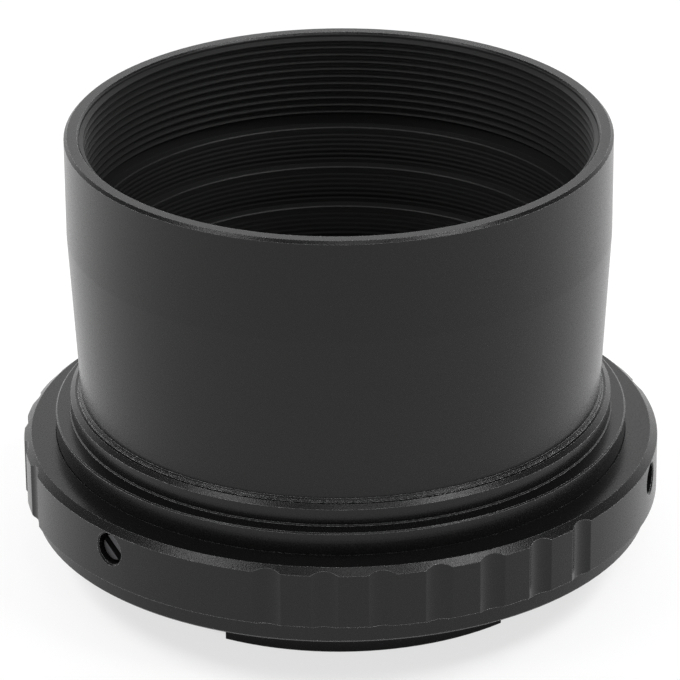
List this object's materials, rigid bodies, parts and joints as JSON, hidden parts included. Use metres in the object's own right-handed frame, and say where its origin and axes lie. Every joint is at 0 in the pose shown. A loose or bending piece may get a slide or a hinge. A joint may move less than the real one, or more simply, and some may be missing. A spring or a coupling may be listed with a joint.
{
  "type": "telescope camera adapter",
  "caption": "Short black nosepiece tube with a filter-threaded bore on a fluted, turnable lens-mount ring, joining a camera body to a telescope focuser.",
  "frame": {"origin": "centre of the bayonet's lower end, on the optical axis, where the adapter stands on its lugs", "axes": "+Z along the optical axis from the camera to the nose; -Y is the front that faces the viewer, +X to the viewer's right"},
  "size_m": [0.06, 0.06, 0.0422],
  "materials": {
    "anodised_nosepiece": "black anodised, fine turned, satin",
    "anodised_ring": "black anodised, fine turned, satin",
    "anodised_plate": "black anodised, satin",
    "blackened_steel": "black oxide"
  },
  "bodies": {
    "camera_ring": {"grip_ring": "anodised_ring", "bayonet_plate": "anodised_plate", "plate_screws": "blackened_steel"},
    "insert": {"threaded_insert": "anodised_ring"},
    "nose": {"nosepiece": "anodised_nosepiece"},
    "front_screw": {"set_screw_front": "blackened_steel"},
    "right_screw": {"set_screw_right": "blackened_steel"},
    "back_screw": {"set_screw_back": "blackened_steel"}
  },
  "joints": [
    {"name": "insert_turn", "type": "hinge", "parent": "camera_ring", "child": "insert", "pos_m": [0, 0, 0.011], "axis": [0, 0, 1], "continuous": true},
    {"name": "nosepiece_unscrew", "type": "slide", "parent": "insert", "child": "nose", "axis": [0, 0, 1], "range_m": [0, 0.0045]},
    {"name": "front_screw_travel", "type": "slide", "parent": "camera_ring", "child": "front_screw", "axis": [-0.7071, -0.7071, 0], "range_m": [0, 0.002]},
    {"name": "right_screw_travel", "type": "slide", "parent": "camera_ring", "child": "right_screw", "axis": [0.9659, -0.2588, 0], "range_m": [0, 0.002]},
    {"name": "back_screw_travel", "type": "slide", "parent": "camera_ring", "child": "back_screw", "axis": [-0.2588, 0.9659, 0], "range_m": [0, 0.002]}
  ]
}
